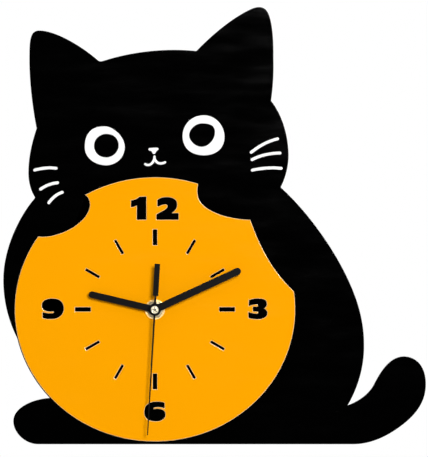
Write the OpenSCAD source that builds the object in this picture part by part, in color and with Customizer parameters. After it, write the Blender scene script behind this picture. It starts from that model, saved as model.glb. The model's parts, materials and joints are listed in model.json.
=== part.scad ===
// Wall clock in the shape of a sitting cat that holds its dial: flat pieces
// of acrylic sheet, glued in layers, and a battery quartz movement behind.
//
// X runs to the viewer's right, Z up, and Y from the room into the wall.
// The origin is on the axis of the hands, in the plane of the wall.
// Every shape is drawn as the viewer sees it, then stood up by depth().

/* [Acrylic sheets] */
// Thickness of the black sheet with the cat's outline
back_sheet = 3; // [2:0.5:4]
// Thickness of the yellow dial, the eyes, the nose, the mouth and the whiskers
front_sheet = 2; // [1.5:0.5:3]
// Half width of the dial
dial_half_w = 98.2; // [97:0.1:99]
// Half height of the dial
dial_half_h = 92.5; // [91:0.1:93]
// How far the black sheet shows round the free edge of the dial
dial_margin = 0.7; // [0.2:0.1:1]

/* [Dial] */
// Distance of the numerals from the axis
numeral_r = 71.5; // [68:0.5:74]
// Inner end of the hour marks
tick_r_in = 45; // [42:0.5:48]
// Outer end of the hour marks
tick_r_out = 56; // [52:0.5:58]
// Width of the marks at twelve, three, six and nine
wide_tick_w = 3; // [2:0.1:4]
// Width of the other marks
thin_tick_w = 1.8; // [1:0.1:3]

/* [Whiskers and mouth] */
// Width of a whisker
whisker_w = 2.1; // [1.6:0.1:3]
// Width of the line of the mouth
mouth_w = 1.7; // [1.2:0.1:2.2]

/* [Hands] */
// Direction of the hour hand, clockwise from twelve
hour_angle = 283.3; // [0:0.1:359]
// Direction of the minute hand
minute_angle = 65.2; // [0:0.1:359]
// Direction of the second hand
second_angle = 183.3; // [0:0.1:359]
// Length of the hour hand from the axis
hour_len = 47.5; // [40:0.5:52]
// Width of the hour hand
hour_w = 4.7; // [3.5:0.1:6]
// Length of the minute hand
minute_len = 66; // [58:0.5:70]
// Width of the minute hand
minute_w = 5.1; // [3.5:0.1:6]
// Length of the second hand
second_len = 87.7; // [75:0.1:90]
// Thickness of the hour and minute hands
hand_t = 0.4; // [0.3:0.1:0.6]

/* [Movement] */
// Width and height of the movement's case
case_w = 56; // [56:0.5:60]
// Depth of the case, from the wall to its front
case_d = 16; // [16:0.1:18]
// Thickness of the case's walls
case_wall = 1; // [0.8:0.1:1]
// Outer diameter of the threaded bush that the nut turns on
bush_d = 7.9; // [7.5:0.1:8]
// Pitch of its thread
thread_pitch = 0.75; // [0.5:0.05:1]
// Diameter of the battery cell
cell_d = 14.5; // [13.8:0.1:14.5]
// Length of the battery cell with its button
cell_len = 50.5; // [49.5:0.1:50.5]

/* [Hanger and washers] */
// Thickness of the hanger's sheet steel
hanger_t = 0.8; // [0.6:0.1:1]
// Width of the hanger
hanger_w = 24; // [20:1:30]
// Diameter of the keyhole's round entry
keyhole_d = 8; // [7:0.5:9]
// Width of the slot above it that the nail slides into
slot_w = 4; // [3:0.5:4.5]
// Height of the middle of the round entry above the axis
keyhole_z = 40; // [38:0.5:42]
// Thickness of the rubber washer
rubber_t = 1; // [0.8:0.1:1.5]
// Diameter of the rubber washer
rubber_d = 18; // [14:1:24]
// Thickness of the brass washer
washer_t = 0.5; // [0.4:0.1:0.8]
// Diameter of the brass washer
washer_d = 14; // [12:0.5:16]
// Thickness of the nut
nut_t = 2; // [1.5:0.1:2.5]
// Width of the nut across its flats
nut_af = 11; // [10:0.5:12]

/* [Hidden] */

$fn = 64;

// Colours
black_acrylic = "#0a0a0b";
yellow_acrylic = "#ffaa01";
white_acrylic = "#f7f7f5";
black_paint = "#18181a";
bright_metal = "#d9d6cc";
brass = "#c9a64e";
rubber = "#202022";
zinc_steel = "#b9bcc0";
case_plastic = "#26272a";
gear_plastic = "#e9e4d4";
bridge_plastic = "#d9dbdc";
knob_grey = "#565a5e";
copper = "#b5672f";
board_green = "#1f6b3c";
chip_black = "#101012";
magnet_grey = "#5b5d61";
sleeve_green = "#2f7d4f";

// Levels: distances from the wall of each layer's back
hanger_level = case_d;
rubber_level = hanger_level + hanger_t;
back_level = rubber_level + rubber_t;
front_level = back_level + back_sheet;
washer_level = front_level + front_sheet;
nut_level = washer_level + washer_t;
bush_end = nut_level + nut_t + 0.7;
hour_tube_end = bush_end + 2.3;
hour_hand_level = hour_tube_end - 0.7;
minute_hand_level = hour_tube_end + 1.7;
minute_tube_end = minute_hand_level + 1.1;
second_hand_level = minute_tube_end + 1.3;

// The three nested shafts, with the clearance that each runs in
run_gap = 0.06;
arbor_r = 0.5;
minute_bore_r = arbor_r + run_gap;
minute_tube_r = 1.6;
hour_bore_r = minute_tube_r + run_gap;
hour_tube_r = 2.5;
bush_bore_r = hour_tube_r + run_gap;
bush_r = bush_d / 2;
stack_hole_r = bush_r + 0.15;

// Gear train: teeth and centre distances
rotor_teeth = 10;
intermediate_teeth = 60;
intermediate_pinion_teeth = 12;
second_teeth = 60;
second_pinion_teeth = 8;
third_teeth = 60;
third_pinion_teeth = 8;
minute_teeth = 64;
cannon_teeth = 10;
motion_teeth = 30;
motion_pinion_teeth = 8;
hour_teeth = 32;
rotor_distance = 8.05;
intermediate_distance = 7.92;
third_distance = 9;
motion_distance = 9.4;
rotor_direction = 170;
intermediate_direction = 160;
third_direction = 60;
motion_direction = -20;

axis_point = [0, 0];
intermediate_point = polar(intermediate_distance, intermediate_direction);
rotor_point = intermediate_point + polar(rotor_distance, rotor_direction);
third_point = polar(third_distance, third_direction);
motion_point = polar(motion_distance, motion_direction);

// Levels inside the case, from the rear cover to the front wall
cover_t = 1.2;
boss_end = 2.8;
third_level = 3.4;
stator_level = 4.9;
second_level = 5.6;
intermediate_level = 7;
middle_level = 8.4;
minute_level = 10;
motion_level = 11.7;
hour_level = 13.3;
wheel_t = 0.6;
bridge_t = 0.8;
front_wall_level = case_d - case_wall;
pivot_r = 0.4;
pivot_gap = 0.05;
stem_r = 0.6;
knob_shaft_r = 0.75;
knob_r = 5.2;
knob_level = 0.3;
knob_t = 1.4;

// The case's inner edges and the wall above the battery bay
case_half = case_w / 2;
inner_half = case_half - case_wall;
bay_wall_t = 0.8;
bay_wall_z = -12.2;
bay_roof_z = bay_wall_z + bay_wall_t;
cell_z = -19.7;
cell_level = 7.65;
post_points = [[-18, 10], [-18, -7], [11, 11]];
post_r = 1.6;

// The cover's clips: their reach in height and the levels of their barbs
clip_z = [5.4, 10.6];
clip_barb = [5.9, 7.1];

// The battery's contact strips
contact_level = 4.5;
contact_w = 3;
strip_t = 0.3;

// Level of the circuit board
board_level = 5;
board_t = 1;

// ---- Functions ----

function polar(r, angle) = [r * cos(angle), r * sin(angle)];

// A cubic curve without its first point
function curve(a, b, c, d, steps) = [
    for (i = [1:steps])
        let (t = i / steps, s = 1 - t)
        s * s * s * a + 3 * s * s * t * b + 3 * s * t * t * c + t * t * t * d
];

// Points along moves that start at start, which isn't repeated. A move is
// [end] for a straight line, or [handle, handle, end] for a curve.
function path(start, moves, steps = 16) = [
    for (i = [0:len(moves) - 1])
        let (m = moves[i], from = i == 0 ? start : last(moves[i - 1]))
        each len(m) == 1 ? m : curve(from, m[0], m[1], m[2], steps)
];

function last(list) = list[len(list) - 1];

// Points of an ellipse, whose size is its half width and half height
function ellipse_point(size, angle) = [size.x * cos(angle), size.y * sin(angle)];

function ellipse_arc(size, from, to, steps) = [
    for (i = [0:steps]) ellipse_point(size, from + (to - from) * i / steps)
];

// A closed oval through its four outermost points. fullness is how square
// it is from east to north, to west, to south and back: 0.55 is round.
function oval(east, north, west, south, fullness, steps = 10) = concat(
    quarter(east, north, fullness[0], steps, true),
    quarter(north, west, fullness[1], steps, false),
    quarter(west, south, fullness[2], steps, true),
    quarter(south, east, fullness[3], steps, false)
);

function quarter(a, b, k, steps, upright) = upright
    ? curve(a, [a.x, a.y + k * (b.y - a.y)], [b.x + k * (a.x - b.x), b.y], b, steps)
    : curve(a, [a.x + k * (b.x - a.x), a.y], [b.x, b.y + k * (a.y - b.y)], b, steps);

// The outline of a line of the given width with round ends
function ribbon(line, width, cap = 8) =
    let (r = width / 2, n = len(line) - 1, first_way = heading(line, 0), last_way = heading(line, n))
    concat(
        [for (i = [0:n]) line[i] + polar(r, heading(line, i) + 90)],
        [for (k = [1:cap - 1]) line[n] + polar(r, last_way + 90 - 180 * k / cap)],
        [for (i = [n:-1:0]) line[i] + polar(r, heading(line, i) - 90)],
        [for (k = [1:cap - 1]) line[0] + polar(r, first_way - 90 - 180 * k / cap)]
    );

function heading(line, i) =
    let (a = line[max(i - 1, 0)], b = line[min(i + 1, len(line) - 1)])
    atan2(b.y - a.y, b.x - a.x);

// Gear teeth on involute flanks, thinned so that they run with backlash
pressure_angle = 20;
tooth_share = 0.8;
addendum = 0.8;
dedendum = 1.15;

function involute(angle) = tan(angle) * 180 / PI - angle;

function half_tooth(teeth, pitch_r, r) =
    let (base_r = pitch_r * cos(pressure_angle))
    90 / teeth * tooth_share + involute(pressure_angle) - involute(acos(min(1, base_r / max(r, base_r))));

function gear_outline(teeth, pitch_r, phase) =
    let (
        m = 2 * pitch_r / teeth,
        radii = [pitch_r - dedendum * m, pitch_r, pitch_r + addendum * m]
    )
    [
        for (k = [0:teeth - 1])
            let (middle = phase + k * 360 / teeth)
            each concat(
                [for (i = [0:2]) polar(radii[i], middle - half_tooth(teeth, pitch_r, radii[i]))],
                [for (i = [2:-1:0]) polar(radii[i], middle + half_tooth(teeth, pitch_r, radii[i]))]
            )
    ];

// Pitch radius of the first gear of a pair, and the phase that puts the
// second gear's gap on the first gear's tooth. direction is from first to second.
function pitch_radius(distance, teeth, other_teeth) = distance * teeth / (teeth + other_teeth);

function meshed_phase(direction, teeth, phase, other_teeth) =
    direction + 180 + 180 / other_teeth + (direction - phase) * teeth / other_teeth;

// ---- Outlines ----

// The cat, clockwise from where the left ear meets the cheek. The free
// stretch of the dial's edge joins the foot to the back.
DIAL_SIZE = [dial_half_w, dial_half_h];
DIAL_RIM = DIAL_SIZE + [dial_margin, dial_margin];
foot_dial_angle = 221.8;
back_dial_angle = 192.5;
EARS_AND_FOOT = path([-83.2, 128], [
    [[-86.1, 143], [-88.3, 162], [-88, 178]],
    [[-88, 190], [-87, 195.4], [-81, 195.4]],
    [[-70, 195.4], [-52, 185], [-40, 174.5]],
    [[-39, 173.7], [-38, 173.6], [-36, 174.2]],
    [[-16, 180.7], [8, 183.3], [29, 181]],
    [[39.3, 191.8], [53, 203.5], [66, 209.8]],
    [[71.5, 212.6], [76.7, 213], [79.3, 207.6]],
    [[81.9, 202], [83.2, 192], [83, 175]],
    [[83.3, 165], [82.6, 155], [81.3, 146.2]],
    [[88, 138], [93.4, 124], [93.6, 108]],
    [[93.6, 101], [91.8, 93], [88.3, 86]],
    [[88, 85.4], [88.7, 84.9], [89.5, 84.3]],
    [[107.6, 67.6], [129.6, 38.1], [140.3, 9.1]],
    [[144.3, -2], [146.5, -13], [146.5, -24]],
    [[146.9, -40.2], [142.1, -55.2], [135, -67.3]],
    [[143, -64.5], [150.5, -59], [153.8, -52]],
    [[157.5, -45], [163.7, -33.5], [174, -33]],
    [[184, -32.8], [189.8, -41], [189.8, -52]],
    [[190, -64], [183.6, -73.6], [171.7, -82.2]],
    [[162.8, -88.8], [151.5, -94.5], [139, -94.5]],
    [[-82, -94.5]],
    [[-90.8, -94.5], [-99.3, -86.6], [-99.3, -78.3]],
    [[-99.3, -68.9], [-86, -63], [-74.5, -62.2]]
]);
BACK_AND_CHEEK = path(ellipse_point(DIAL_RIM, back_dial_angle), [
    [[-102, -9.5], [-106.4, 4.5], [-106.3, 21]],
    [[-106.3, 42], [-95.6, 64.7], [-84.6, 77.5]],
    [[-83.9, 78.3], [-84.2, 78.9], [-84.8, 79.6]],
    [[-87.3, 84], [-88.9, 90], [-88.7, 97]],
    [[-88.5, 108], [-86.1, 117], [-83.4, 125.5]],
    [[-83, 126.6], [-82.9, 127.2], [-83.2, 128]]
]);
CAT_OUTLINE = concat(
    EARS_AND_FOOT,
    ellipse_arc(DIAL_RIM, foot_dial_angle, back_dial_angle, 10),
    BACK_AND_CHEEK
);

// The dial is an ellipse that both paws and the right arm reach over
arm_angle = 8;
left_paw_from = 146.5;
left_paw_to = 120;
right_paw_angle = 72;
DIAL_OUTLINE = concat(
    ellipse_arc(DIAL_SIZE, arm_angle, left_paw_from - 360, 64),
    path(ellipse_point(DIAL_SIZE, left_paw_from), [
        [[-68, 49.2], [-46.8, 60.3], [-45.6, 72.5]],
        [[-45.5, 75.8], [-46.6, 78.9], [-48.6, 79.8]]
    ]),
    ellipse_arc(DIAL_SIZE, left_paw_to, right_paw_angle, 16),
    path(ellipse_point(DIAL_SIZE, right_paw_angle), [
        [[29.6, 85], [29.5, 83], [29.9, 80.5]],
        [[30.6, 69], [52, 62.8], [66.7, 62.8]],
        [[72, 48], [80, 29], [96.8, 13.1]]
    ])
);

// Numerals, each about its own middle, as one cut-out without islands. The
// nine is the six turned over, and a little larger.
nine_scale = 1.04;
ONE = path([-10.8, 7.9], [
    [[-6.1, 7.9]],
    [[-6.1, -8.2]],
    [[-12.7, -8.2]],
    [[-12.7, 2]],
    [[-13.8, 1.2], [-15.2, 0.7], [-16.8, 0.6]],
    [[-16.8, 5.3]],
    [[-14.2, 5.6], [-12.2, 6.4], [-10.8, 7.9]]
], 5);
TWO = path([1, -8.2], [
    [[16.5, -8.2]],
    [[16.5, -3.6]],
    [[11.6, -3.6]],
    [[14.6, -1.7], [15.5, 0.2], [15.5, 2.8]],
    [[15.5, 6], [12.4, 7.6], [8.4, 7.6]],
    [[5.6, 7.6], [3.4, 7], [1.7, 5.6]],
    [[1.7, 1.1]],
    [[3.2, 0.9], [4.6, 2.5], [7, 2.6]],
    [[8.6, 2.7], [9.4, 1.2], [8.4, 0]],
    [[6.5, -1.8], [3.6, -3], [1, -4.4]],
    [[1, -8.2]]
], 6);
THREE = path([-6.4, 6.2], [
    [[-3.8, 7.1], [-2, 7.3], [0.4, 7.3]],
    [[4.4, 7.3], [6.3, 5.9], [6.3, 3.7]],
    [[6.3, 2.1], [5.5, 0.9], [4.1, 0.3]],
    [[5.9, -0.3], [6.6, -1.7], [6.6, -2.9]],
    [[6.6, -5.6], [3.9, -7.2], [-0.3, -7.2]],
    [[-2.7, -7.2], [-4.7, -6.9], [-6.6, -6.2]],
    [[-6.6, -2]],
    [[-5.1, -3], [-3.1, -3.3], [-0.5, -3.3]],
    [[0.5, -3.3], [0.5, -1.8], [-0.5, -1.8]],
    [[-3.5, -1.8]],
    [[-3.5, 1.6]],
    [[-0.5, 1.6]],
    [[0.5, 1.6], [0.5, 3.2], [-0.6, 3.2]],
    [[-2.6, 3.2], [-4.2, 2.9], [-6.4, 2]],
    [[-6.4, 6.2]]
], 5);
SIX = path([6.7, 6.1], [
    [[5, 6.7], [3.2, 6.9], [1, 6.9]],
    [[-4.4, 6.9], [-7.5, 3.9], [-7.5, -0.3]],
    [[-7.5, -4.7], [-4.6, -6.9], [0.2, -6.9]],
    [[4.6, -6.9], [7.3, -5.1], [7.3, -2.1]],
    [[7.3, -0.1], [6.1, 1.1], [4, 1.6]],
    [[2.6, 1.9], [0.8, 2.1], [-0.4, 1.6]],
    [[-1.2, 1.3], [-1.2, 2.5], [-0.4, 2.8]],
    [[1.6, 3.3], [4.4, 3.1], [6.7, 2.2]],
    [[6.7, 6.1]]
], 6);

LEFT_EYE = oval([-21.1, 113.8], [-35.4, 128.3], [-49.2, 113.5], [-34.3, 100.9], [0.46, 0.66, 0.55, 0.56]);
LEFT_PUPIL = oval([-25.4, 114.8], [-34.2, 122.9], [-42.7, 114.4], [-34.2, 106.4], [0.6, 0.55, 0.57, 0.52]);
RIGHT_EYE = oval([48.7, 120.8], [34.3, 136], [19.3, 121.4], [34.4, 107.9], [0.55, 0.57, 0.62, 0.61]);
RIGHT_PUPIL = oval([42, 124.2], [33, 130.3], [23.9, 122], [32.7, 113.9], [0.68, 0.5, 0.5, 0.52]);

NOSE = path([-3.7, 113.1], [
    [[1.6, 113.3]],
    [[3, 113.2], [3, 111.7], [1.5, 111.2]],
    [[0.8, 110.8], [0.6, 109.9], [0.3, 109.3]],
    [[0, 108.7], [-1.5, 108.7], [-1.8, 109.4]],
    [[-2.1, 110.6], [-2.7, 111], [-3.7, 111.1]],
    [[-4.9, 111.2], [-4.9, 113], [-3.7, 113.1]]
], 5);

// ---- Helpers ----

// Stands up what is drawn as the viewer sees it, at a distance from the wall
module depth(level) {
    rotate([90, 0, 0]) translate([0, 0, level]) children();
}

module cut_sheet(level, thickness) {
    depth(level) linear_extrude(thickness) children();
}

module ring(level, thickness, outer_r, inner_r) {
    depth(level) difference() {
        cylinder(h = thickness, r = outer_r);
        translate([0, 0, -1]) cylinder(h = thickness + 2, r = inner_r);
    }
}

// A rod between two distances from the wall
module rod(point, from, to, r) {
    depth(from) translate(point) cylinder(h = to - from, r = r);
}

module gear(point, level, thickness, teeth, pitch_r, phase) {
    depth(level) translate(point) linear_extrude(thickness) polygon(gear_outline(teeth, pitch_r, phase));
}

// A block between two corners, each [x, z, distance from the wall]
module block(low, high) {
    depth(low.z) translate([low.x, low.y]) cube([high.x - low.x, high.y - low.y, high.z - low.z]);
}

// ---- Acrylic ----

module cat_back_plate() {
    color(black_acrylic) cut_sheet(back_level, back_sheet) difference() {
        polygon(CAT_OUTLINE);
        circle(stack_hole_r);
    }
}

module hour_marks() {
    for (hour = [0:11]) {
        w = hour % 3 == 0 ? wide_tick_w : thin_tick_w;
        rotate(-30 * hour) translate([-w / 2, tick_r_in]) square([w, tick_r_out - tick_r_in]);
    }
}

module dial_plate() {
    color(yellow_acrylic) cut_sheet(front_level, front_sheet) difference() {
        polygon(DIAL_OUTLINE);
        circle(stack_hole_r);
        hour_marks();
        translate([0, numeral_r - 0.5]) polygon(ONE);
        translate([0, numeral_r - 0.5]) polygon(TWO);
        translate([numeral_r + 0.6, 0.3]) polygon(THREE);
        translate([0, -numeral_r]) polygon(SIX);
        translate([-numeral_r - 0.2, 0.4]) rotate(180) scale(nine_scale) polygon(SIX);
    }
}

module eye_ring(outline, pupil) {
    color(white_acrylic) cut_sheet(front_level, front_sheet) difference() {
        polygon(outline);
        polygon(pupil);
    }
}

module left_eye_ring() { eye_ring(LEFT_EYE, LEFT_PUPIL); }
module right_eye_ring() { eye_ring(RIGHT_EYE, RIGHT_PUPIL); }

module nose() {
    color(white_acrylic) cut_sheet(front_level, front_sheet) polygon(NOSE);
}

module mouth() {
    left_side = concat([[-0.3, 107]], path([-0.3, 107], [[[-0.3, 103.5], [-3.2, 99.6], [-6.8, 101.7]]]));
    right_side = concat([[-0.1, 105.4]], path([-0.1, 105.4], [[[1.2, 101.6], [4.6, 101.8], [7, 103]]]));
    color(white_acrylic) cut_sheet(front_level, front_sheet) {
        polygon(ribbon(left_side, mouth_w));
        polygon(ribbon(right_side, mouth_w));
    }
}

module whisker(start, first_handle, second_handle, end) {
    line = concat([start], path(start, [[first_handle, second_handle, end]], 8));
    color(white_acrylic) cut_sheet(front_level, front_sheet) polygon(ribbon(line, whisker_w));
}

module left_upper_whisker() { whisker([-84.2, 97.6], [-79.5, 98.8], [-74, 99.6], [-69.2, 98.8]); }
module left_middle_whisker() { whisker([-80.1, 84.2], [-76.9, 86.6], [-72.9, 88.2], [-68.2, 88.7]); }
module left_lower_whisker() { whisker([-74.3, 74.7], [-71.8, 78.2], [-68.9, 80.7], [-65, 82]); }
module right_upper_whisker() { whisker([67.4, 110], [73, 114.6], [79.5, 118], [85.8, 119.4]); }
module right_middle_whisker() { whisker([68, 104.9], [74, 108], [80.5, 109.4], [87.6, 109.5]); }
module right_lower_whisker() { whisker([68.2, 97.5], [75, 99], [81, 99.5], [88.3, 98.8]); }

// ---- Hands ----

// A straight baton with a round tip
module baton(length, width) {
    tip_r = width / 2;
    tip = [for (i = [0:16]) [0, length - tip_r] + polar(tip_r, 180 * i / 16)];
    polygon(concat([[-tip_r, 0], [tip_r, 0]], tip));
}

module pressed_hand(level, angle, length, width, hub_r, collar_r, bore_r, collar_len) {
    color(black_paint) difference() {
        union() {
            cut_sheet(level, hand_t) {
                rotate(-angle) baton(length, width);
                circle(hub_r);
            }
            depth(level - collar_len) cylinder(h = collar_len + hand_t / 2, r = collar_r);
        }
        depth(level - collar_len - 1) cylinder(h = collar_len + hand_t + 2, r = bore_r);
    }
}

module hour_hand() {
    pressed_hand(hour_hand_level, hour_angle, hour_len, hour_w,
        hub_r = 4.4, collar_r = 3.4, bore_r = hour_tube_r, collar_len = 1.2);
}

module minute_hand() {
    pressed_hand(minute_hand_level, minute_angle, minute_len, minute_w,
        hub_r = 4.2, collar_r = 2.5, bore_r = minute_tube_r, collar_len = 1);
}

// The blade ends in a thin point on one side and a bar that balances it on the other
second_t = 0.3;
second_hub_r = 1.05;
module second_hand() {
    stem_half = 0.75;
    point_half = 0.4;
    bar_w = 3.9;
    bar_from = 9.6;
    bar_to = 32;
    disc_r = 3.7;
    blade = [
        [-stem_half, -bar_from - 1], [stem_half, -bar_from - 1],
        [point_half, second_len], [-point_half, second_len]
    ];
    color(black_paint) cut_sheet(second_hand_level, second_t) rotate(-second_angle) difference() {
        union() {
            polygon(blade);
            translate([-bar_w / 2, -bar_to]) square([bar_w, bar_to - bar_from]);
            circle(disc_r);
        }
        circle(second_hub_r);
    }
}

// A turned tube with a stepped cap and a pit in its middle, pressed through the blade
module second_hand_hub() {
    cap_r = 2.7;
    tube_from = second_hand_level - 0.9;
    cap_level = second_hand_level + second_t;
    color(bright_metal) depth(0) rotate_extrude() polygon([
        [arbor_r, tube_from], [second_hub_r, tube_from], [second_hub_r, cap_level],
        [cap_r, cap_level], [cap_r, cap_level + 0.3], [cap_r - 0.3, cap_level + 0.5],
        [2, cap_level + 0.5], [1.8, cap_level + 0.35], [1.4, cap_level + 0.35],
        [1.2, cap_level + 0.6], [0.95, cap_level + 0.6], [0.85, cap_level + 0.1],
        [arbor_r, cap_level + 0.1]
    ]);
}

// ---- Clamp stack and hanger ----

module hex_nut() {
    corner_r = nut_af / 2 / cos(30);
    chamfer = 0.5;
    color(bright_metal) depth(nut_level) difference() {
        intersection() {
            cylinder(h = nut_t, r = corner_r, $fn = 6);
            rotate_extrude() polygon([
                [0, 0], [corner_r, 0], [corner_r, nut_t - chamfer],
                [corner_r - chamfer * 1.7, nut_t], [0, nut_t]
            ]);
        }
        translate([0, 0, -1]) cylinder(h = nut_t + 2, r = bush_r + 0.05);
    }
}

module brass_washer() {
    color(brass) ring(washer_level, washer_t, washer_d / 2, stack_hole_r);
}

module rubber_washer() {
    color(rubber) ring(rubber_level, rubber_t, rubber_d / 2, stack_hole_r);
}

// A strip of sheet steel: clamped round the bush in front, bent back over
// the case to the wall, then up to the keyhole
module wall_hanger() {
    bend_z = case_half + 1.7;
    top_z = keyhole_z + 15;
    bottom_z = -9;
    bend_r = 1;
    corner_cut = 3;
    slot_len = 9;
    front = hanger_level;
    side = [
        [front, bottom_z], [front + hanger_t, bottom_z],
        [front + hanger_t, bend_z + hanger_t - bend_r],
        [front + hanger_t - bend_r, bend_z + hanger_t], [hanger_t, bend_z + hanger_t],
        [hanger_t, top_z], [0, top_z],
        [0, bend_z + bend_r], [bend_r, bend_z], [front, bend_z]
    ];
    color(zinc_steel) difference() {
        translate([-hanger_w / 2, 0, 0]) rotate([90, 0, 90]) linear_extrude(hanger_w)
            polygon([for (p = side) [-p.x, p.y]]);
        rod(axis_point, front - 1, front + 2, stack_hole_r);
        rod([0, keyhole_z], -1, 2, keyhole_d / 2);
        rod([0, keyhole_z + slot_len], -1, 2, slot_w / 2);
        block([-slot_w / 2, keyhole_z, -1], [slot_w / 2, keyhole_z + slot_len, 2]);
        for (side_x = [-1, 1])
            translate([side_x * hanger_w / 2, 0, top_z]) rotate([0, 45, 0])
                cube([corner_cut, 4, corner_cut], center = true);
    }
}

// The thread is cut as rings, and a flange behind the case's front wall holds it
module threaded_bush() {
    thread_depth = 0.4;
    thread_end = bush_end - 0.3;
    flange_r = 5;
    flange_t = 0.4;
    turns = floor((bush_end - front_wall_level - 1) / thread_pitch);
    thread = [
        for (i = [0:turns - 1]) each [
            [bush_r, thread_end - i * thread_pitch],
            [bush_r - thread_depth, thread_end - (i + 0.5) * thread_pitch]
        ]
    ];
    color(brass) depth(0) rotate_extrude() polygon(concat(
        [[bush_bore_r, bush_end], [bush_r - 0.3, bush_end]],
        thread,
        [[bush_r, thread_end - turns * thread_pitch], [bush_r, front_wall_level]],
        [[flange_r, front_wall_level], [flange_r, front_wall_level - flange_t]],
        [[bush_bore_r, front_wall_level - flange_t]]
    ));
}

// ---- Case ----

module rounded_square(half, r) {
    difference() {
        square(2 * half, center = true);
        for (turn = [0:90:270]) rotate(turn) translate([half - r, half - r]) difference() {
            square(r + 1);
            circle(r);
        }
    }
}

module front_case() {
    join = 0.1;
    hole_end = front_wall_level + 0.6;
    color(case_plastic) difference() {
        union() {
            difference() {
                cut_sheet(0, case_d) rounded_square(case_half, 3);
                cut_sheet(-1, front_wall_level + 1) rounded_square(inner_half, 2);
            }
            block([-inner_half - join, bay_wall_z, 0],
                [inner_half + join, bay_roof_z, front_wall_level + join]);
            for (point = post_points)
                rod(point, middle_level + bridge_t, front_wall_level + join, post_r);
        }
        // Seat of the rear cover
        block([-case_half - 1, bay_wall_z, -1], [case_half + 1, case_half + 1, cover_t]);
        // Holes for the bush and the front pivots
        rod(axis_point, front_wall_level - 1, case_d + 1, bush_r);
        rod(third_point, front_wall_level - 1, hole_end, pivot_r + pivot_gap);
        rod(motion_point, front_wall_level - 1, hole_end, pivot_r + pivot_gap);
        // A window for the cover's clip and a notch for the battery contact on each side
        for (side_x = [-1, 1]) mirror([side_x < 0 ? 1 : 0, 0, 0]) {
            block([case_half - 2, clip_z[0] - 0.4, clip_barb[0] - 0.4],
                [case_half + 1, clip_z[1] + 0.4, clip_barb[1] + 0.4]);
            block([inner_half - 1.6, bay_wall_z - 1, contact_level - 0.5],
                [inner_half, bay_roof_z + 1, contact_level + contact_w + 0.5]);
        }
    }
}

// A sprung tongue with a barb that snaps into the case's window
module clip() {
    tongue_t = 0.8;
    tongue_end = 8;
    barb_h = 0.6;
    inner = inner_half - 0.1;
    block([inner - tongue_t, clip_z[0], cover_t - 0.1], [inner, clip_z[1], tongue_end]);
    block([inner - 0.1, clip_z[0], clip_barb[0]], [inner + barb_h, clip_z[1], clip_barb[1]]);
}

// Sunk in the cover's outside: arrows round the knob's well that show how it
// turns, and a shallow panel for a label
module cover_marks() {
    mark_depth = 0.3;
    arrow_r = 7.4;
    arrow_w = 0.8;
    head_len = 12;
    head_half = 1.3;
    panel_low = [-22, -6];
    panel_high = [-1.5, 22];
    cut_sheet(-1, 1 + mark_depth) {
        translate(panel_low) square(panel_high - panel_low);
        translate(motion_point) for (turn = [0, 180]) rotate(turn) {
            polygon(concat(
                ellipse_arc([arrow_r + arrow_w / 2, arrow_r + arrow_w / 2], 35, 135, 16),
                ellipse_arc([arrow_r - arrow_w / 2, arrow_r - arrow_w / 2], 135, 35, 16)
            ));
            polygon([
                polar(arrow_r - head_half, 134), polar(arrow_r + head_half, 134),
                polar(arrow_r, 134 + head_len)
            ]);
        }
    }
}

// The cover behind the train, with a lip inside the case, the knob's well,
// the rear bearings and a clip on each side
module rear_case() {
    well_r = knob_r + 0.8;
    well_wall = 0.7;
    well_floor = knob_level + knob_t + 0.3;
    lip = 0.7;
    lip_end = 2.4;
    lip_half = inner_half - 0.1;
    lip_bottom = bay_roof_z + 0.1;
    boss_r = 1.4;
    bearing_floor = 1.5;
    color(case_plastic) difference() {
        union() {
            difference() {
                cut_sheet(0, cover_t) rounded_square(case_half, 3);
                block([-case_half - 1, -case_half - 1, -1], [case_half + 1, bay_wall_z, 3]);
            }
            difference() {
                block([-lip_half, lip_bottom, cover_t - 0.1], [lip_half, lip_half, lip_end]);
                block([-lip_half + lip, lip_bottom + lip, 0], [lip_half - lip, lip_half - lip, 3]);
                for (x = [-inner_half, inner_half])
                    block([x - 2, inner_half - 2, 0], [x + 2, inner_half + 1, 3]);
            }
            rod(motion_point, 0.6, well_floor + well_wall, well_r + well_wall);
            for (point = [axis_point, third_point, intermediate_point, rotor_point])
                rod(point, cover_t - 0.1, boss_end, boss_r);
            for (side_x = [-1, 1]) mirror([side_x < 0 ? 1 : 0, 0, 0]) clip();
        }
        rod(motion_point, -1, well_floor, well_r);
        rod(motion_point, 0, 5, knob_shaft_r + pivot_gap);
        rod(axis_point, bearing_floor, 5, arbor_r + pivot_gap);
        for (point = [third_point, intermediate_point, rotor_point])
            rod(point, bearing_floor, 5, pivot_r + pivot_gap);
        cover_marks();
    }
}

// The plate between the two layers of the train, which rests on the case's posts
module middle_plate() {
    left = -20;
    bottom = -9;
    color(bridge_plastic) cut_sheet(middle_level, bridge_t) difference() {
        union() {
            translate([left, bottom]) square([33, 21]);
            translate([left, bottom]) square([6, 23]);
        }
        circle(arbor_r + pivot_gap);
        translate(third_point) circle(stem_r + 0.2);
        translate(motion_point) circle(knob_shaft_r + 0.15);
        for (point = [intermediate_point, rotor_point])
            translate(point) circle(pivot_r + pivot_gap);
    }
}

// ---- Train ----

intermediate_phase = meshed_phase(rotor_direction + 180, rotor_teeth, 0, intermediate_teeth);
second_phase = meshed_phase(intermediate_direction + 180, intermediate_pinion_teeth, 0, second_teeth);
third_phase = meshed_phase(third_direction, second_pinion_teeth, 0, third_teeth);
minute_phase = meshed_phase(third_direction + 180, third_pinion_teeth, 0, minute_teeth);
motion_phase = meshed_phase(motion_direction, cannon_teeth, 0, motion_teeth);
hour_phase = meshed_phase(motion_direction + 180, motion_pinion_teeth, 0, hour_teeth);

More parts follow.
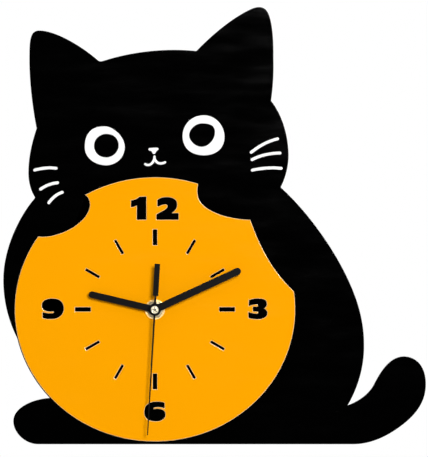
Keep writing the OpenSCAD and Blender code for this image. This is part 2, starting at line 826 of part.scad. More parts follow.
// The wheel and the tube that carry the hour hand
module hour_wheel() {
    color(gear_plastic) difference() {
        union() {
            gear(axis_point, hour_level, 1, hour_teeth,
                pitch_radius(motion_distance, hour_teeth, motion_pinion_teeth), hour_phase);
            rod(axis_point, hour_level, hour_tube_end, hour_tube_r);
        }
        rod(axis_point, hour_level - 1, hour_tube_end + 1, hour_bore_r);
    }
}

module minute_wheel() {
    color(gear_plastic) difference() {
        gear(axis_point, minute_level, 0.8, minute_teeth,
            pitch_radius(third_distance, minute_teeth, third_pinion_teeth), minute_phase);
        rod(axis_point, minute_level - 1, minute_level + 2, minute_tube_r);
    }
}

// The tube that carries the minute hand, in one with the cannon pinion
module minute_tube() {
    color(brass) difference() {
        union() {
            rod(axis_point, middle_level + bridge_t + 0.2, minute_tube_end, minute_tube_r);
            gear(axis_point, motion_level - 0.2, 1.2, cannon_teeth,
                pitch_radius(motion_distance, cannon_teeth, motion_teeth), 0);
        }
        rod(axis_point, middle_level, minute_tube_end + 1, minute_bore_r);
    }
}

module motion_wheel() {
    pinion_from = motion_level + 0.7;
    pinion_to = hour_level + 1.2;
    color(gear_plastic) difference() {
        union() {
            gear(motion_point, motion_level, 0.8, motion_teeth,
                pitch_radius(motion_distance, motion_teeth, cannon_teeth), motion_phase);
            gear(motion_point, pinion_from, pinion_to - pinion_from, motion_pinion_teeth,
                pitch_radius(motion_distance, motion_pinion_teeth, hour_teeth), 0);
        }
        rod(motion_point, motion_level - 1, pinion_to + 1, knob_shaft_r);
    }
}

// The knob that sets the hands, with the shaft that carries the motion wheel
module setting_knob() {
    grip_count = 24;
    grip_r = 0.4;
    rim = 1.4;
    dish = 0.4;
    color(knob_grey) {
        difference() {
            rod(motion_point, knob_level, knob_level + knob_t, knob_r);
            for (i = [0:grip_count - 1])
                rod(motion_point + polar(knob_r + 0.2, 360 * i / grip_count), 0, 3, grip_r);
            rod(motion_point, 0, knob_level + dish, knob_r - rim);
        }
        rod(motion_point, knob_level + knob_t - 0.1, front_wall_level - 0.3, knob_shaft_r);
        rod(motion_point, front_wall_level - 0.4, front_pivot_end, pivot_r);
    }
}

// A stem from the rear cover's boss to stem_end, with a pivot at each end
rear_pivot_end = 1.6;
front_pivot_end = front_wall_level + 0.5;
module arbor(point, stem_end, pivot_end) {
    rod(point, boss_end + 0.1, stem_end, stem_r);
    rod(point, rear_pivot_end, boss_end + 0.2, pivot_r);
    rod(point, stem_end - 0.1, pivot_end, pivot_r);
}

module third_wheel() {
    color(gear_plastic) {
        arbor(third_point, front_wall_level - 0.1, front_pivot_end);
        gear(third_point, third_level, wheel_t, third_teeth,
            pitch_radius(third_distance, third_teeth, second_pinion_teeth), third_phase);
        gear(third_point, minute_level - 0.3, 1.4, third_pinion_teeth,
            pitch_radius(third_distance, third_pinion_teeth, minute_teeth), 0);
    }
}

module second_wheel() {
    hub_r = 1;
    wheel_r = pitch_radius(intermediate_distance, second_teeth, intermediate_pinion_teeth);
    color(gear_plastic) difference() {
        union() {
            gear(axis_point, third_level - 0.2, 1.1, second_pinion_teeth,
                pitch_radius(third_distance, second_pinion_teeth, third_teeth), 0);
            rod(axis_point, third_level + 0.8, second_level + wheel_t + 0.6, hub_r);
            gear(axis_point, second_level, wheel_t, second_teeth, wheel_r, second_phase);
        }
        rod(axis_point, 0, middle_level, arbor_r);
    }
}

module second_arbor() {
    color(zinc_steel) rod(axis_point, rear_pivot_end, second_hand_level + 0.2, arbor_r);
}

module intermediate_wheel() {
    color(gear_plastic) {
        arbor(intermediate_point, middle_level - 0.1, middle_level + 0.7);
        gear(intermediate_point, second_level - 0.2, 1, intermediate_pinion_teeth,
            pitch_radius(intermediate_distance, intermediate_pinion_teeth, second_teeth), 0);
        gear(intermediate_point, intermediate_level, wheel_t, intermediate_teeth,
            pitch_radius(rotor_distance, intermediate_teeth, rotor_teeth), intermediate_phase);
    }
}

// ---- Stepping motor ----

magnet_r = 2.6;
magnet_level = 4;
magnet_t = 2.5;
yoke_t = 0.8;
yoke_left = -19.2;
yoke_w = 7.9;
yoke_bottom = -9;
yoke_top = 25;
limb_w = 3;
core_w = 2.4;
coil_x = -22.2;
coil_bottom = -5;
coil_top = 21;
coil_middle = stator_level - yoke_t / 2;
winding_r = 2.5;
flange_half = 2.7;
flange_t = 0.8;
sleeve_half_w = 1.7;
sleeve_half_t = 0.9;

module rotor_pinion() {
    color(gear_plastic) {
        arbor(rotor_point, middle_level - 0.1, middle_level + 0.7);
        gear(rotor_point, intermediate_level - 0.2, 1, rotor_teeth,
            pitch_radius(rotor_distance, rotor_teeth, intermediate_teeth), 0);
    }
}

module rotor_magnet() {
    color(magnet_grey) difference() {
        rod(rotor_point, magnet_level, magnet_level + magnet_t, magnet_r);
        rod(rotor_point, magnet_level - 1, magnet_level + magnet_t + 1, stem_r);
    }
}

// Two limbs round the rotor, joined to the ends of the coil's core
module stator() {
    limb_left = coil_x - 1.8;
    color(zinc_steel) cut_sheet(stator_level, yoke_t) difference() {
        union() {
            translate([yoke_left, yoke_bottom]) square([yoke_w, yoke_top - yoke_bottom]);
            for (z = [yoke_bottom, yoke_top - limb_w])
                translate([limb_left, z]) square([yoke_left - limb_left + 0.1, limb_w]);
        }
        translate(rotor_point) circle(magnet_r + 0.4);
    }
}

// A block round the coil's middle line, which runs up
module along_coil(half_w, half_t, bottom, top) {
    block([coil_x - half_w, bottom, coil_middle - half_t], [coil_x + half_w, top, coil_middle + half_t]);
}

module coil_core() {
    color(zinc_steel) along_coil(core_w / 2, yoke_t / 2, yoke_bottom, yoke_top);
}

module coil_bobbin() {
    color(bridge_plastic) difference() {
        union() {
            for (z = [coil_bottom, coil_top - flange_t])
                along_coil(flange_half, flange_half, z, z + flange_t);
            along_coil(sleeve_half_w, sleeve_half_t, coil_bottom, coil_top);
        }
        along_coil(core_w / 2, yoke_t / 2, coil_bottom - 1, coil_top + 1);
    }
}

module coil_winding() {
    color(copper) difference() {
        translate([coil_x, -coil_middle, coil_bottom + flange_t])
            cylinder(h = coil_top - coil_bottom - 2 * flange_t, r = winding_r);
        along_coil(sleeve_half_w, sleeve_half_t, coil_bottom, coil_top);
    }
}

// ---- Circuit ----

board_low = [14.6, -10];
board_high = [25.6, 25];
board_mid_x = 20;

module circuit_board() {
    color(board_green) block([board_low.x, board_low.y, board_level],
        [board_high.x, board_high.y, board_level + board_t]);
}

// A drop of resin over the chip, on the board's rear face
module chip_cover() {
    color(chip_black) depth(board_level) translate([board_mid_x, 9]) rotate_extrude() polygon([
        [0, 0], [3.8, 0], [3.3, -0.7], [2, -1.1], [0, -1.2]
    ]);
}

// A metal can that lies on the board's front face
module quartz_crystal() {
    can_r = 1;
    can_len = 6;
    color(bright_metal) translate([board_mid_x, -board_level - board_t - can_r, -7]) {
        cylinder(h = can_len, r = can_r);
        translate([0, 0, can_len - 0.1]) cylinder(h = 0.6, r = 0.7);
    }
}

// ---- Battery and contacts ----

board_front = board_level + board_t;

// A plate against the cell's button, and a tab on the board
module positive_contact() {
    plate_x = inner_half - 0.5;
    rear_x = plate_x - strip_t;
    plate_half = 4;
    color(bright_metal) {
        block([rear_x, cell_z - plate_half, contact_level],
            [plate_x, bay_roof_z + 2, contact_level + contact_w]);
        block([rear_x, cell_z - plate_half, contact_level], [plate_x, cell_z + plate_half, 11]);
        block([22, bay_roof_z + 1.4, board_front], [plate_x, bay_roof_z + 5, board_front + strip_t]);
    }
}

// A leaf that bows against the cell, and a strip along the bay's roof to the board
module negative_contact() {
    back_x = -inner_half + 0.5;
    spring_x = back_x + strip_t;
    bow_x = can_left - 0.05;
    roof = bay_roof_z + 0.2;
    tab_x = [15.2, 17];
    leaf = [
        [back_x, cell_z - 5], [spring_x, cell_z - 5], [bow_x, cell_z - 1], [bow_x, cell_z + 1],
        [spring_x, cell_z + 5], [spring_x, bay_roof_z + 0.5], [back_x, bay_roof_z + 0.5],
        [back_x, cell_z + 5], [bow_x - strip_t, cell_z + 1], [bow_x - strip_t, cell_z - 1]
    ];
    color(bright_metal) {
        depth(contact_level) linear_extrude(contact_w) polygon(leaf);
        block([back_x, roof, contact_level], [tab_x[1], roof + strip_t, contact_level + contact_w]);
        block([tab_x[0], roof, board_front], [tab_x[1], -8, board_front + strip_t]);
    }
}

button_h = 1.3;
button_r = 2.7;
can_r = cell_d / 2 - 0.2;
can_left = -25;
can_right = can_left + cell_len - button_h;

module lying_cylinder(from_x, to_x, r) {
    translate([from_x, -cell_level, cell_z]) rotate([0, 90, 0]) cylinder(h = to_x - from_x, r = r);
}

module battery_can() {
    color(zinc_steel) {
        lying_cylinder(can_left, can_right, can_r);
        lying_cylinder(can_right - 0.1, can_right + button_h, button_r);
    }
}

module battery_sleeve() {
    color(sleeve_green) difference() {
        lying_cylinder(can_left + 0.4, can_right - 0.4, cell_d / 2);
        lying_cylinder(can_left - 1, can_right + 1, can_r);
    }
}

cat_back_plate();
dial_plate();
left_eye_ring();
right_eye_ring();
nose();
mouth();
left_upper_whisker();
left_middle_whisker();
left_lower_whisker();
right_upper_whisker();
right_middle_whisker();
right_lower_whisker();
hour_hand();
minute_hand();
second_hand();
second_hand_hub();
hex_nut();
brass_washer();
rubber_washer();
wall_hanger();
threaded_bush();
front_case();
rear_case();
middle_plate();
hour_wheel();
minute_wheel();
minute_tube();
motion_wheel();
setting_knob();
third_wheel();
second_wheel();
second_arbor();
intermediate_wheel();
rotor_pinion();
rotor_magnet();
stator();
coil_core();
coil_bobbin();
coil_winding();
circuit_board();
chip_cover();
quartz_crystal();
positive_contact();
negative_contact();
battery_can();
battery_sleeve();
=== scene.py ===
import json
import math

import bpy
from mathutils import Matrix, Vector


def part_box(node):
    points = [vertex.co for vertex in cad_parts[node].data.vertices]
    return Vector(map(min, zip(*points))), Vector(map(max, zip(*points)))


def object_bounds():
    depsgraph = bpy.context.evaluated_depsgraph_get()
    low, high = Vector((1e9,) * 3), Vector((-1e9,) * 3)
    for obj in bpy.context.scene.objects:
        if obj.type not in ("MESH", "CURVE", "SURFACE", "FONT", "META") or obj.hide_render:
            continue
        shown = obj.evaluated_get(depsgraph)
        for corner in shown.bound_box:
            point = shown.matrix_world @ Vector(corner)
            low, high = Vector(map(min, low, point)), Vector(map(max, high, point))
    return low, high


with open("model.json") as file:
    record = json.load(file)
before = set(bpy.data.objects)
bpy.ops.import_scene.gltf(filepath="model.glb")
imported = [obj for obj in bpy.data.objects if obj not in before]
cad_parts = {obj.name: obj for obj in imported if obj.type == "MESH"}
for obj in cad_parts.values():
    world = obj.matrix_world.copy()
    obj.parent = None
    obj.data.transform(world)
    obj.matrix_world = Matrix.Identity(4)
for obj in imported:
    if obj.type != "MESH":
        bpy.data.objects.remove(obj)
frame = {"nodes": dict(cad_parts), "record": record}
cad_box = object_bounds()
nodes = frame["nodes"]

MM = 0.001
HANDS_AXIS = (0, 0, 0)


# ---- Node trees ----

def add_node(tree, kind, **settings):
    made = tree.nodes.new(kind)
    for name, value in settings.items():
        setattr(made, name, value)
    return made


def join(tree, pairs):
    """Links the output in each pair to the input in it."""
    for output, socket in pairs:
        tree.links.new(output, socket)


class Look:
    """A material on a Principled shader. The names of shader sockets are written with _ for a space."""

    def __init__(self, name, **sockets):
        self.material = bpy.data.materials.new(name)
        self.material.use_nodes = True
        self.tree = self.material.node_tree
        self.shader = self.tree.nodes["Principled BSDF"]
        self.set(**sockets)

    def set(self, **sockets):
        """Links a socket to another node's output, or gives it a constant."""
        for name, value in sockets.items():
            self.feed(self.shader.inputs[name.replace("_", " ")], value)

    def feed(self, socket, value):
        if isinstance(value, bpy.types.NodeSocket):
            self.tree.links.new(value, socket)
        elif isinstance(value, tuple) and len(value) == 3 and socket.type == "RGBA":
            socket.default_value = (*value, 1)
        else:
            socket.default_value = value

    def node(self, kind, inputs=None, **settings):
        made = add_node(self.tree, "ShaderNode" + kind, **settings)
        for key, value in (inputs or {}).items():
            self.feed(made.inputs[key], value)
        return made

    def place(self, scale=(1, 1, 1), turn=(0, 0, 0)):
        """Object coordinates in millimetres, then stretched by scale."""
        object_point = self.node("TexCoord").outputs["Object"]
        stretch = tuple(s / MM for s in scale)
        mapping = self.node("Mapping", {"Vector": object_point, "Scale": stretch, "Rotation": turn})
        return mapping.outputs["Vector"]

    def noise(self, size, detail=2.0, stretch=(1, 1, 1)):
        """Noise whose features are about size mm across."""
        vector = self.place(tuple(s / size for s in stretch))
        inputs = {"Vector": vector, "Scale": 1.0, "Detail": detail}
        return self.node("TexNoise", inputs).outputs["Fac"]

    def cells(self, size):
        """Distance from the middle of cells about size mm across."""
        vector = self.place((1 / size, 1 / size, 1 / size))
        return self.node("TexVoronoi", {"Vector": vector, "Scale": 1.0}).outputs["Distance"]

    def radius(self, centre):
        """Distance in metres from the line along Y through centre."""
        object_point = self.node("TexCoord").outputs["Object"]
        from_centre = self.node("VectorMath", {0: object_point, 1: centre}, operation="SUBTRACT")
        flat = self.node("VectorMath", {0: from_centre.outputs[0], 1: (1, 0, 1)}, operation="MULTIPLY")
        return self.node("VectorMath", {0: flat.outputs[0]}, operation="LENGTH").outputs["Value"]

    def rings(self, pitch, centre, sway):
        """Turned rings round the line along Y through centre, pitch mm apart. They sway by up to sway
        radians of a ring."""
        turned = self.math("MULTIPLY", self.radius(centre), 2 * math.pi / (pitch * MM))
        return self.math("SINE", self.math("ADD", turned, self.scaled(self.noise(1.5), 0, sway)))

    def math(self, operation, *values):
        return self.node("Math", dict(enumerate(values)), operation=operation).outputs[0]

    def scaled(self, value, low, high, from_low=0.0, from_high=1.0):
        inputs = {"Value": value, "From Min": from_low, "From Max": from_high,
                  "To Min": low, "To Max": high}
        return self.node("MapRange", inputs).outputs["Result"]

    def spread(self, noise, low, high):
        """Low to high over the middle part of a noise, where most of it lies."""
        return self.scaled(noise, low, high, 0.3, 0.7)

    def mix(self, factor, first, second):
        """A colour between two, each a tuple or an output."""
        made = self.node("Mix", {"Factor": factor}, data_type="RGBA")
        colours = (socket for socket in made.inputs if socket.type == "RGBA")
        for socket, colour in zip(colours, (first, second)):
            self.feed(socket, colour)
        return next(socket for socket in made.outputs if socket.type == "RGBA")

    def bump(self, height, depth, below=None):
        """A bump of depth mm, on top of the bump below it."""
        inputs = {"Height": height, "Distance": depth * MM}
        if below is not None:
            inputs["Normal"] = below
        return self.node("Bump", inputs).outputs["Normal"]

    def facing(self, axis, low, high):
        """0 where the surface's normal lies along axis (0 to 2), and 1 where it lies across it."""
        normal = self.node("TexCoord").outputs["Normal"]
        part = self.node("SeparateXYZ", {"Vector": normal}).outputs[axis]
        return self.scaled(self.math("ABSOLUTE", part), 1, 0, low, high)


# ---- Materials ----

def tinted(colour, factor):
    return tuple(min(1, factor * c) for c in colour)


def acrylic(name, colour, painted_edge_shading, gloss):
    """Polished cast sheet. Its cut edges take a second colour, painted light and shade that stand in for
    how the light falls on them, and the laser's fine ripple.
    """
    look = Look(name, IOR=1.49)
    edge = look.facing(1, 0.5, 0.985)
    cloud = look.scaled(look.noise(45, 3), 0, 0.05, 0.35, 0.65)
    shaded = look.mix(cloud, colour, tinted(colour, 0.8))
    ripple = look.noise(0.35, 2, stretch=(1, 0.04, 1))
    # The cut edges' colour is painted light, broken up by the laser's ripple.
    cut = look.mix(look.spread(ripple, 0, 0.35), painted_edge_shading, colour)
    wipe = look.noise(9, 4, stretch=(0.25, 1, 1))
    smear = look.scaled(wipe, gloss, gloss + 0.05, 0.35, 0.75)
    wave = look.bump(look.noise(30, 1), 0.012)
    striae = look.math("MULTIPLY", ripple, edge)
    look.set(Base_Color=look.mix(edge, shaded, cut), Roughness=look.scaled(edge, smear, 0.16),
             Specular_IOR_Level=look.scaled(edge, 0.5, 0.12),
             Normal=look.bump(striae, 0.03, below=wave))
    return look.material


def painted(name, colour):
    """Satin paint on thin sheet, with a slight orange peel."""
    look = Look(name, IOR=1.5, Specular_IOR_Level=0.05)
    peel = look.noise(0.35, 3)
    tone = look.spread(look.noise(5, 3), 0, 0.35)
    look.set(Base_Color=look.mix(tone, colour, tinted(colour, 1.8)),
             Roughness=look.spread(look.noise(2.5, 3), 0.3, 0.42),
             Normal=look.bump(peel, 0.01))
    return look.material


def turned_metal(name, colour, roughness, tarnish=0.25, depth=0.006, pit=None):
    """Metal turned about the hands' axis, with the tool's fine rings and patches of tarnish. A pit is
    a recess in the middle, with its radius in mm, darkened with painted shade."""
    look = Look(name, Metallic=1.0)
    rings = look.rings(0.22, HANDS_AXIS, sway=2.0)
    stain = look.scaled(look.noise(3.2, 4), 0, tarnish, 0.4, 0.75)
    metal = look.mix(stain, colour, tinted(colour, 0.55))
    if pit:
        # Painted shade: the metal darkens towards the middle of the pit.
        pit_shade = look.scaled(look.radius(HANDS_AXIS), 1, 0, 0.8 * pit * MM, 1.15 * pit * MM)
        metal = look.mix(pit_shade, metal, tuple(0.12 * c * c for c in colour))
    look.set(Base_Color=metal,
             Roughness=look.spread(look.noise(0.9, 4), roughness * 0.75, roughness * 1.35),
             Normal=look.bump(rings, depth))
    return look.material


def rolled_metal(name, colour, roughness, grain=(1, 1, 0.03), scratch=0.012, spangle=0.0):
    """Sheet metal with brush lines. They are long on the axis where grain is small."""
    look = Look(name, Metallic=1.0)
    lines = look.noise(0.16, 3, stretch=grain)
    tone = look.scaled(look.noise(6, 4), 0, 0.35, 0.35, 0.7)
    metal = look.mix(tone, colour, tinted(colour, 0.7))
    rough = look.spread(lines, roughness * 0.7, roughness * 1.4)
    if spangle:
        flakes = look.scaled(look.cells(2.6), 0, spangle, 0.1, 0.8)
        metal = look.mix(flakes, metal, tinted(colour, 1.25))
    look.set(Base_Color=metal, Roughness=rough, Normal=look.bump(lines, scratch))
    return look.material


def moulded(name, colour, roughness, grain, depth, edge_paling=0.0, shine=0.0):
    """Moulded plastic with a spark-eroded grain of that size and depth in mm. Convex edges can be made
    paler, in patches.
    """
    look = Look(name, IOR=1.5)
    texture = look.math("ADD", look.noise(grain, 4), look.math("MULTIPLY", look.cells(grain * 1.7), 0.5))
    flow = look.spread(look.noise(14, 3, stretch=(1, 1, 0.4)), 0, 0.3)
    plastic = look.mix(flow, colour, tinted(colour, 0.75))
    if edge_paling:
        # Convex edges are made paler, broken up in patches by noise.
        pointed = look.node("NewGeometry").outputs["Pointiness"]
        paled_edges = look.math("MULTIPLY", look.scaled(pointed, 0, edge_paling, 0.52, 0.6), look.noise(1.2, 3))
        plastic = look.mix(paled_edges, plastic, tuple(min(1, 2.2 * c + 0.03) for c in colour))
    look.set(Base_Color=plastic,
             Roughness=look.spread(look.noise(4, 3), roughness - shine, roughness + 0.08),
             Normal=look.bump(texture, depth))
    return look.material


def rubber(name):
    """Matt black rubber with a little dust."""
    look = Look(name, IOR=1.45)
    dust = look.scaled(look.noise(1.1, 5), 0, 0.5, 0.45, 0.8)
    look.set(Base_Color=look.mix(dust, (0.012, 0.012, 0.012), (0.05, 0.05, 0.048)),
             Roughness=look.spread(look.noise(0.6, 3), 0.72, 0.92),
             Normal=look.bump(look.noise(0.25, 4), 0.03))
    return look.material


def sintered(name):
    """Pressed metal powder."""
    look = Look(name, Metallic=0.7)
    grain = look.cells(0.12)
    look.set(Base_Color=look.mix(grain, (0.06, 0.06, 0.065), (0.13, 0.13, 0.14)),
             Roughness=look.scaled(grain, 0.4, 0.7), Normal=look.bump(grain, 0.02))
    return look.material


def wound_wire(name):
    """Enamelled wire in turns 0.12 mm apart, up the coil, with painted shade in the grooves between turns
    and a painted highlight on their crests.
    """
    look = Look(name, Metallic=0.9)
    pitch = 0.12
    up = look.node("SeparateXYZ", {"Vector": look.place()}).outputs["Z"]
    sway = look.scaled(look.noise(2.5, 2), -1.2, 1.2)
    turns = look.math("SINE", look.math("ADD", look.math("MULTIPLY", up, 2 * math.pi / pitch), sway))
    crest = look.scaled(turns, 0, 1, -1, 1)
    # Painted light: dark in the grooves between turns, bright on the crests.
    look.set(Base_Color=look.mix(crest, (0.28, 0.08, 0.02), (0.75, 0.3, 0.12)),
             Roughness=look.scaled(crest, 0.45, 0.25), Normal=look.bump(crest, 0.05))
    return look.material


def board(name):
    """Green mask, paler in a grid of lines where the tracks lie under it."""
    look = Look(name, IOR=1.5)
    grid = look.node("TexBrick", {
        "Vector": look.place((0.25, 0.25, 0.25), (math.radians(90), 0, 0)), "Scale": 1.0,
        "Color1": (0.02, 0.16, 0.06), "Color2": (0.03, 0.2, 0.075), "Mortar": (0.06, 0.3, 0.12),
        "Mortar Size": 0.06, "Brick Width": 0.9, "Row Height": 0.35})
    weave = look.noise(0.5, 2, stretch=(1, 1, 0.2))
    look.set(Base_Color=grid.outputs["Color"],
             Roughness=look.spread(weave, 0.28, 0.42),
             Normal=look.bump(grid.outputs["Fac"], 0.02, below=look.bump(weave, 0.01)))
    return look.material


def shrink_sleeve(name, cell_box):
    """A printed film in two plain colours with a thin pale line between them."""
    look = Look(name, IOR=1.5)
    low, high = cell_box
    along = look.node("SeparateXYZ", {"Vector": look.node("TexCoord").outputs["Object"]}).outputs["X"]
    share = look.scaled(along, 0, 1, low.x, high.x)
    body_share, half_line = 0.72, 0.012
    tip = look.math("GREATER_THAN", share, body_share)
    line = look.math("COMPARE", share, body_share, half_line)
    ink = look.noise(0.5, 4)
    body = look.mix(look.scaled(ink, 0, 0.3), (0.016, 0.13, 0.07), (0.03, 0.19, 0.1))
    band = look.mix(look.scaled(ink, 0, 0.3), (0.55, 0.53, 0.48), (0.68, 0.66, 0.6))
    look.set(Base_Color=look.mix(line, look.mix(tip, body, band), (0.85, 0.83, 0.78)),
             Roughness=look.spread(look.noise(5, 3), 0.2, 0.34),
             Normal=look.bump(look.noise(1.6, 3, stretch=(0.3, 1, 1)), 0.02))
    return look.material


LOOKS = {
    # The second colour of each sheet is painted light on its cut edges: a painted highlight on the black
    # and yellow, painted shade on the white.
    "black_acrylic": acrylic("black_acrylic", (0.0003, 0.0003, 0.0003), (0.006, 0.006, 0.006), 0.03),
    "yellow_acrylic": acrylic("yellow_acrylic", (1.0, 0.385, 0.0003), (1.0, 0.93, 0.62), 0.05),
    "white_acrylic": acrylic("white_acrylic", (0.99, 0.99, 0.985), (0.82, 0.82, 0.82), 0.06),
    "hand_black": painted("hand_black", (0.0022, 0.002, 0.002)),
    # The hub's pit is darkened with painted shade.
    "bright_metal": turned_metal("bright_metal", (0.7, 0.64, 0.47), 0.27,
                                 tarnish=0.15, depth=0.003, pit=0.9),
    "nut_nickel": turned_metal("nut_nickel", (0.33, 0.28, 0.18), 0.42, tarnish=0.35, depth=0.004),
    "brass": turned_metal("brass", (0.7, 0.48, 0.2), 0.34),
    "rubber": rubber("rubber"),
    "zinc_steel": rolled_metal("zinc_steel", (0.66, 0.68, 0.71), 0.3, spangle=0.35),
    "case_plastic": moulded("case_plastic", (0.042, 0.042, 0.045), 0.46, 0.28, 0.035, edge_paling=0.5, shine=0.05),
    "knob_plastic": moulded("knob_plastic", (0.13, 0.135, 0.14), 0.4, 0.2, 0.015, edge_paling=0.5, shine=0.1),
    "bridge_plastic": moulded("bridge_plastic", (0.72, 0.73, 0.74), 0.42, 0.3, 0.01),
    "gear_plastic": moulded("gear_plastic", (0.82, 0.78, 0.66), 0.36, 0.2, 0.008),
    "pivot_steel": rolled_metal("pivot_steel", (0.6, 0.6, 0.62), 0.22, grain=(1, 0.03, 1), scratch=0.004),
    "magnet": sintered("magnet"),
    "core_iron": rolled_metal("core_iron", (0.5, 0.5, 0.52), 0.42),
    "copper_wire": wound_wire("copper_wire"),
    "circuit_board": board("circuit_board"),
    "chip_resin": moulded("chip_resin", (0.012, 0.012, 0.013), 0.3, 0.8, 0.03, shine=0.1),
    "crystal_can": rolled_metal("crystal_can", (0.78, 0.78, 0.8), 0.2, grain=(1, 1, 0.05), scratch=0.004),
    "contact_nickel": rolled_metal("contact_nickel", (0.72, 0.69, 0.62), 0.26, grain=(0.05, 1, 1)),
    "cell_steel": rolled_metal("cell_steel", (0.74, 0.74, 0.76), 0.24, grain=(0.05, 1, 1), scratch=0.006),
    "cell_sleeve": shrink_sleeve("cell_sleeve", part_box("battery_sleeve")),
}


def dress():
    """Gives every CAD node the finish of its record slot."""
    for part in frame["record"]["subparts"]:
        for slot in nodes[part["node"]].material_slots:
            slot.material = LOOKS[part["material_slot"]]


# ---- Edges ----

# Faces that meet at less than CORNER_ANGLE are one curved surface, and at less than FLAT_ANGLE one
# flat face. Corners nearer than SAME_POINT are one corner.
CORNER_ANGLE = math.radians(32)
FLAT_ANGLE = math.radians(0.3)
SAME_POINT = 0.001 * MM


def smooth_group():
    """Geometry nodes that join split corners and shade curved surfaces smoothly."""
    group = bpy.data.node_groups.new("joined_and_smoothed", "GeometryNodeTree")
    group.interface.new_socket("Geometry", in_out="INPUT", socket_type="NodeSocketGeometry")
    group.interface.new_socket("Geometry", in_out="OUTPUT", socket_type="NodeSocketGeometry")
    start, end = add_node(group, "NodeGroupInput"), add_node(group, "NodeGroupOutput")
    merge = add_node(group, "GeometryNodeMergeByDistance")
    merge.inputs["Distance"].default_value = SAME_POINT
    faces = add_node(group, "GeometryNodeSetShadeSmooth", domain="FACE")
    edges = add_node(group, "GeometryNodeSetShadeSmooth", domain="EDGE")
    bend = add_node(group, "GeometryNodeInputMeshEdgeAngle")
    soft = add_node(group, "FunctionNodeCompare", data_type="FLOAT", operation="LESS_THAN")
    soft.inputs[1].default_value = CORNER_ANGLE
    join(group, (
        (start.outputs[0], merge.inputs["Geometry"]),
        (merge.outputs[0], faces.inputs["Geometry"]),
        (faces.outputs[0], edges.inputs["Geometry"]),
        (bend.outputs["Unsigned Angle"], soft.inputs[0]),
        (soft.outputs[0], edges.inputs["Shade Smooth"]),
        (edges.outputs[0], end.inputs[0]),
    ))
    return group


# Width in mm of each node's rounded edges. The others keep the edges that they have.
SHEET_EDGE = 0.16
EDGES = {
    "cat_back_plate": SHEET_EDGE, "dial_plate": 0.5, "left_eye_ring": SHEET_EDGE,
    "right_eye_ring": SHEET_EDGE, "nose": SHEET_EDGE, "mouth": SHEET_EDGE,
    "hour_hand": 0.09, "minute_hand": 0.09, "second_hand": 0.06,
    "hex_nut": 0.12, "brass_washer": 0.08, "rubber_washer": 0.15, "wall_hanger": 0.12,
    "front_case": 0.25, "rear_case": 0.18, "setting_knob": 0.1, "battery_can": 0.5,
    "battery_sleeve": 0.08, "middle_plate": 0.1, "stator": 0.06, "coil_core": 0.06,
    "coil_bobbin": 0.1, "circuit_board": 0.06, "positive_contact": 0.05, "negative_contact": 0.05,
    "quartz_crystal": 0.12, "rotor_magnet": 0.12, "second_arbor": 0.08,
}
EDGES.update({name: SHEET_EDGE for name in nodes if name.endswith("whisker")})


def soften():
    """Joins each node's split corners, and rounds its edges a little."""
    group = smooth_group()
    for name, piece in nodes.items():
        smooth = piece.modifiers.new("smooth", "NODES")
        smooth.node_group = group
        if name in EDGES:
            flat = piece.modifiers.new("flat_faces", "DECIMATE")
            flat.decimate_type = "DISSOLVE"
            flat.angle_limit = FLAT_ANGLE
            bevel = piece.modifiers.new("edges", "BEVEL")
            bevel.width = EDGES[name] * MM
            bevel.segments = 3
            bevel.limit_method = "ANGLE"
            bevel.angle_limit = CORNER_ANGLE
            bevel.use_clamp_overlap = False
            bevel.harden_normals = True


# ---- Studio ----

# How bright the room is, and how dark it is behind the camera. A direction there has its Y below
# DARK_TO, and the room has its full brightness where Y is above BRIGHT_FROM.
ROOM = 0.35
DARK_ROOM = 0.002
DARK_TO, BRIGHT_FROM = -0.985, -0.94

# In metres: how far the floor lies below the clock, and how far it reaches to each side
FLOOR_DROP = 0.4
FLOOR_REACH = 1.6

# In metres: the camera's distance, the height that its picture shows there, and how far its aim lies
# from the middle of the clock
CAMERA_DISTANCE = 3.0
SHOWN_HEIGHT = 0.32
AIM_SHIFT = Vector((-0.0004, 0, -0.002))


def aimed(obj, place, target):
    obj.location = place
    obj.rotation_mode = "QUATERNION"
    obj.rotation_quaternion = (target - place).to_track_quat("-Z", "Y")
    bpy.context.scene.collection.objects.link(obj)


def softbox(name, direction, distance, size, power, target, mirrored=True):
    """A round lamp. Polished faces show it only if it is mirrored."""
    lamp = bpy.data.lights.new(name, "AREA")
    lamp.shape = "DISK"
    lamp.size = size
    lamp.energy = power
    seat = bpy.data.objects.new(name, lamp)
    seat.visible_glossy = mirrored
    aimed(seat, target + Vector(direction).normalized() * distance, target)


def studio_world():
    """A room that the camera sees as plain white. It is dark behind the camera, so that black gloss
    stays black."""
    world = bpy.data.worlds.new("studio")
    world.use_nodes = True
    tree = world.node_tree
    tree.nodes.clear()
    direction, parts, path, room, shown, switch, end = (add_node(tree, "ShaderNode" + kind) for kind in (
        "TexCoord", "SeparateXYZ", "LightPath", "Background", "Background", "MixShader", "OutputWorld"))
    for light in (room, shown):
        light.inputs["Color"].default_value = (1, 1, 1, 1)
    bright = add_node(tree, "ShaderNodeMapRange", interpolation_type="SMOOTHSTEP")
    values = {"From Min": DARK_TO, "From Max": BRIGHT_FROM, "To Min": DARK_ROOM, "To Max": ROOM}
    for key, value in values.items():
        bright.inputs[key].default_value = value
    join(tree, (
        (direction.outputs["Generated"], parts.inputs[0]),
        (parts.outputs["Y"], bright.inputs["Value"]),
        (bright.outputs["Result"], room.inputs["Strength"]),
        (path.outputs["Is Camera Ray"], switch.inputs["Fac"]),
        (room.outputs[0], switch.inputs[1]),
        (shown.outputs[0], switch.inputs[2]),
        (switch.outputs[0], end.inputs["Surface"]),
    ))
    bpy.context.scene.world = world


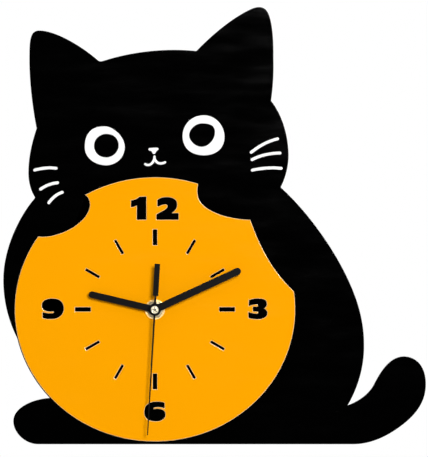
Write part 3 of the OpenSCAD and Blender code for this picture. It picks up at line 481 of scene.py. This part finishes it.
def studio_floor(height, reach):
    """A pale floor that is clear from below. It throws no light on the clock, and the camera sees it
    fade to plain white at the rim."""
    mesh = bpy.data.meshes.new("floor")
    corners = [(-reach, -reach, 0), (reach, -reach, 0), (reach, reach, 0), (-reach, reach, 0)]
    mesh.from_pydata(corners, [], [(0, 1, 2, 3)])
    floor = bpy.data.objects.new("floor", mesh)
    floor.location.z = height
    floor.visible_diffuse = False
    look = Look("floor", Roughness=0.7, Emission_Color=(1, 1, 1))
    point = look.node("TexCoord").outputs["Object"]
    from_middle = look.node("VectorMath", {0: point}, operation="LENGTH").outputs["Value"]
    rim = look.scaled(from_middle, 0, 1, 0.3 * reach, 0.85 * reach)
    cove = look.math("MULTIPLY", rim, look.node("LightPath").outputs["Is Camera Ray"])
    pale = look.mix(look.noise(300, 2), (0.86, 0.86, 0.86), (0.9, 0.9, 0.9))
    look.set(Base_Color=look.mix(cove, pale, (0, 0, 0)), Emission_Strength=cove,
             Specular_IOR_Level=look.scaled(cove, 0.5, 0),
             Alpha=look.scaled(look.node("NewGeometry").outputs["Backfacing"], 1, 0))
    mesh.materials.append(look.material)
    bpy.context.scene.collection.objects.link(floor)


def studio_camera(middle):
    """Looks straight at the clock, with the cat a little above the middle of the picture."""
    camera = bpy.data.cameras.new("camera")
    camera.lens = camera.sensor_width * CAMERA_DISTANCE / SHOWN_HEIGHT
    target = Vector((middle.x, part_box("dial_plate")[0].y, middle.z)) + AIM_SHIFT
    seat = bpy.data.objects.new("camera", camera)
    aimed(seat, target - Vector((0, CAMERA_DISTANCE, 0)), target)
    bpy.context.scene.camera = seat


def studio():
    low, high = cad_box
    middle = (low + high) / 2
    studio_world()
    studio_floor(low.z - FLOOR_DROP, FLOOR_REACH)
    softbox("key", (0.2, -1, 0.2), distance=2.2, size=0.6, power=38, target=middle)
    softbox("back", (-0.6, 1, 0.7), distance=1.6, size=0.8, power=26, target=middle, mirrored=False)
    softbox("side", (1, 0.12, 0.14), distance=1.6, size=0.8, power=18, target=middle)
    softbox("top", (0.3, 0.14, 1), distance=1.6, size=0.8, power=14, target=middle)
    studio_camera(middle)
    bpy.context.scene.view_settings.view_transform = "Standard"


dress()
soften()
studio()
